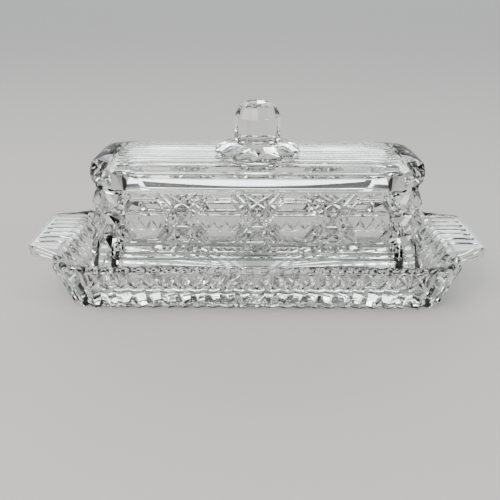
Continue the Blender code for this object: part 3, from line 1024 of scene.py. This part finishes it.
def glass_material(name):
    """Clear lead glass: a faint tint in the depth, and a pressed skin that is not quite even."""
    material = bpy.data.materials.new(name)
    material.use_nodes = True
    tree = material.node_tree
    shader = tree.nodes["Principled BSDF"]
    shader.inputs["IOR"].default_value = 1.54
    shader.inputs["Transmission Weight"].default_value = 1.0
    shader.inputs["Metallic"].default_value = 0.0
    place = tree.nodes.new("ShaderNodeTexCoord")
    # Fine unevenness of the skin drives the roughness.
    skin = tree.nodes.new("ShaderNodeTexNoise")
    skin.inputs["Scale"].default_value = 260.0
    skin.inputs["Detail"].default_value = 3.0
    link(tree, place.outputs["Object"], skin.inputs["Vector"])
    rough = tree.nodes.new("ShaderNodeMapRange")
    rough.inputs["From Min"].default_value = 0.35
    rough.inputs["From Max"].default_value = 0.75
    rough.inputs["To Min"].default_value = 0.0
    rough.inputs["To Max"].default_value = 0.03
    link(tree, skin.outputs["Fac"], rough.inputs["Value"])
    link(tree, rough.outputs["Result"], shader.inputs["Roughness"])
    # Slow waves left by the mould drive the bump and the tint of the surface.
    wave = tree.nodes.new("ShaderNodeTexNoise")
    wave.inputs["Scale"].default_value = 90.0
    wave.inputs["Detail"].default_value = 2.0
    link(tree, place.outputs["Object"], wave.inputs["Vector"])
    bump = tree.nodes.new("ShaderNodeBump")
    bump.inputs["Strength"].default_value = 0.03
    bump.inputs["Distance"].default_value = 0.0004
    link(tree, wave.outputs["Fac"], bump.inputs["Height"])
    link(tree, bump.outputs["Normal"], shader.inputs["Normal"])
    tint = tree.nodes.new("ShaderNodeValToRGB")
    tint.color_ramp.elements[0].color = (0.985, 0.99, 0.985, 1.0)
    tint.color_ramp.elements[1].color = (1.0, 1.0, 1.0, 1.0)
    link(tree, wave.outputs["Fac"], tint.inputs["Fac"])
    link(tree, tint.outputs["Color"], shader.inputs["Base Color"])
    depth = tree.nodes.new("ShaderNodeVolumeAbsorption")
    depth.inputs["Color"].default_value = (0.86, 0.93, 0.82, 1.0)
    depth.inputs["Density"].default_value = 10.0
    link(tree, depth.outputs["Volume"], tree.nodes["Material Output"].inputs["Volume"])
    return material


def finish_piece(piece, material, body, node):
    piece.data.materials.clear()
    piece.data.materials.append(material)
    piece.data.shade_smooth()
    piece.data.set_sharp_from_angle(angle=math.radians(SMOOTH_ANGLE))
    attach(piece, body)
    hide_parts(node)


def make_floor():
    half = FLOOR_REACH
    mesh = bpy.data.meshes.new("floor")
    corners = [(-half, -half, 0.0), (half, -half, 0.0), (half, half, 0.0), (-half, half, 0.0)]
    mesh.from_pydata(corners, [], [(0, 1, 2, 3)])
    floor = new_object("floor", mesh)
    material = bpy.data.materials.new("pale_floor")
    material.use_nodes = True
    shader = material.node_tree.nodes["Principled BSDF"]
    shader.inputs["Base Color"].default_value = FLOOR_COLOR
    shader.inputs["Roughness"].default_value = 0.9
    shader.inputs["Specular IOR Level"].default_value = 0.1
    mesh.materials.append(material)


def new_light(name, kind, power, color, heading):
    """A light that shines along heading."""
    lamp = bpy.data.lights.new(name, kind)
    lamp.energy = power
    lamp.color = color
    light = new_object(name, lamp)
    light.rotation_euler = heading.to_track_quat("-Z", "Y").to_euler()
    return light


def area_light(name, place, size, power, color):
    """A rectangular light that faces the dish."""
    light = new_light(name, "AREA", power, color, Vector(DISH_MIDDLE) - Vector(place))
    light.data.shape = "RECTANGLE"
    light.data.size, light.data.size_y = size
    light.location = place


def far_light(name, azimuth, elevation, width, power, color):
    """A round soft light at a great distance. Angles are in degrees, azimuth from the back towards +X."""
    turn, rise = math.radians(azimuth), math.radians(elevation)
    source = Vector((math.sin(turn) * math.cos(rise), math.cos(turn) * math.cos(rise), math.sin(rise)))
    light = new_light(name, "SUN", power, color, -source)
    light.data.angle = math.radians(width)


def make_world():
    """A grey world that is darker round the horizon, so that the cuts in the glass show."""
    world = bpy.data.worlds.new("studio")
    bpy.context.scene.world = world
    world.use_nodes = True
    tree = world.node_tree
    place = tree.nodes.new("ShaderNodeTexCoord")
    split = tree.nodes.new("ShaderNodeSeparateXYZ")
    ramp = tree.nodes.new("ShaderNodeValToRGB")
    stops = ramp.color_ramp.elements
    for index, (position, color) in enumerate(WORLD_RAMP):
        stop = stops[index] if index < len(stops) else stops.new(position)
        stop.position = position
        stop.color = color
    link(tree, place.outputs["Generated"], split.inputs["Vector"])
    link(tree, split.outputs["Z"], ramp.inputs["Fac"])
    link(tree, ramp.outputs["Color"], tree.nodes["Background"].inputs["Color"])


def make_lights():
    area_light("key", KEY_PLACE, KEY_SIZE, KEY_POWER, KEY_COLOR)
    area_light("fill", FILL_PLACE, FILL_SIZE, FILL_POWER, WHITE)
    far_light("sky", SKY_AZIMUTH, SKY_ELEVATION, SKY_WIDTH, SKY_POWER, WHITE)
    # Soft discs side by side make a wide band of light behind the dish.
    for azimuth in BACK_AZIMUTHS:
        far_light("back", azimuth, BACK_ELEVATION, BACK_WIDTH, BACK_POWER, BACK_COLOR)


def make_camera():
    data = bpy.data.cameras.new("camera")
    data.lens = CAMERA_LENS
    data.sensor_width = CAMERA_SENSOR
    data.clip_start, data.clip_end = CAMERA_CLIP
    camera = new_object("camera", data)
    turn = Matrix.Rotation(-CAMERA_YAW, 4, "Z") @ Matrix.Rotation(math.pi / 2 - CAMERA_PITCH, 4, "X")
    turn = turn @ Matrix.Rotation(CAMERA_ROLL, 4, "Z")
    camera.matrix_world = Matrix.Translation(Vector(CAMERA_PLACE) * MM) @ turn
    bpy.context.scene.camera = camera


def main():
    make_camera()
    make_world()
    make_lights()
    make_floor()
    glass = glass_material("pressed_glass")
    finish_piece(make_tray(), glass, "tray", "tray")
    finish_piece(make_cover(), glass, "cover", "cover")


main()
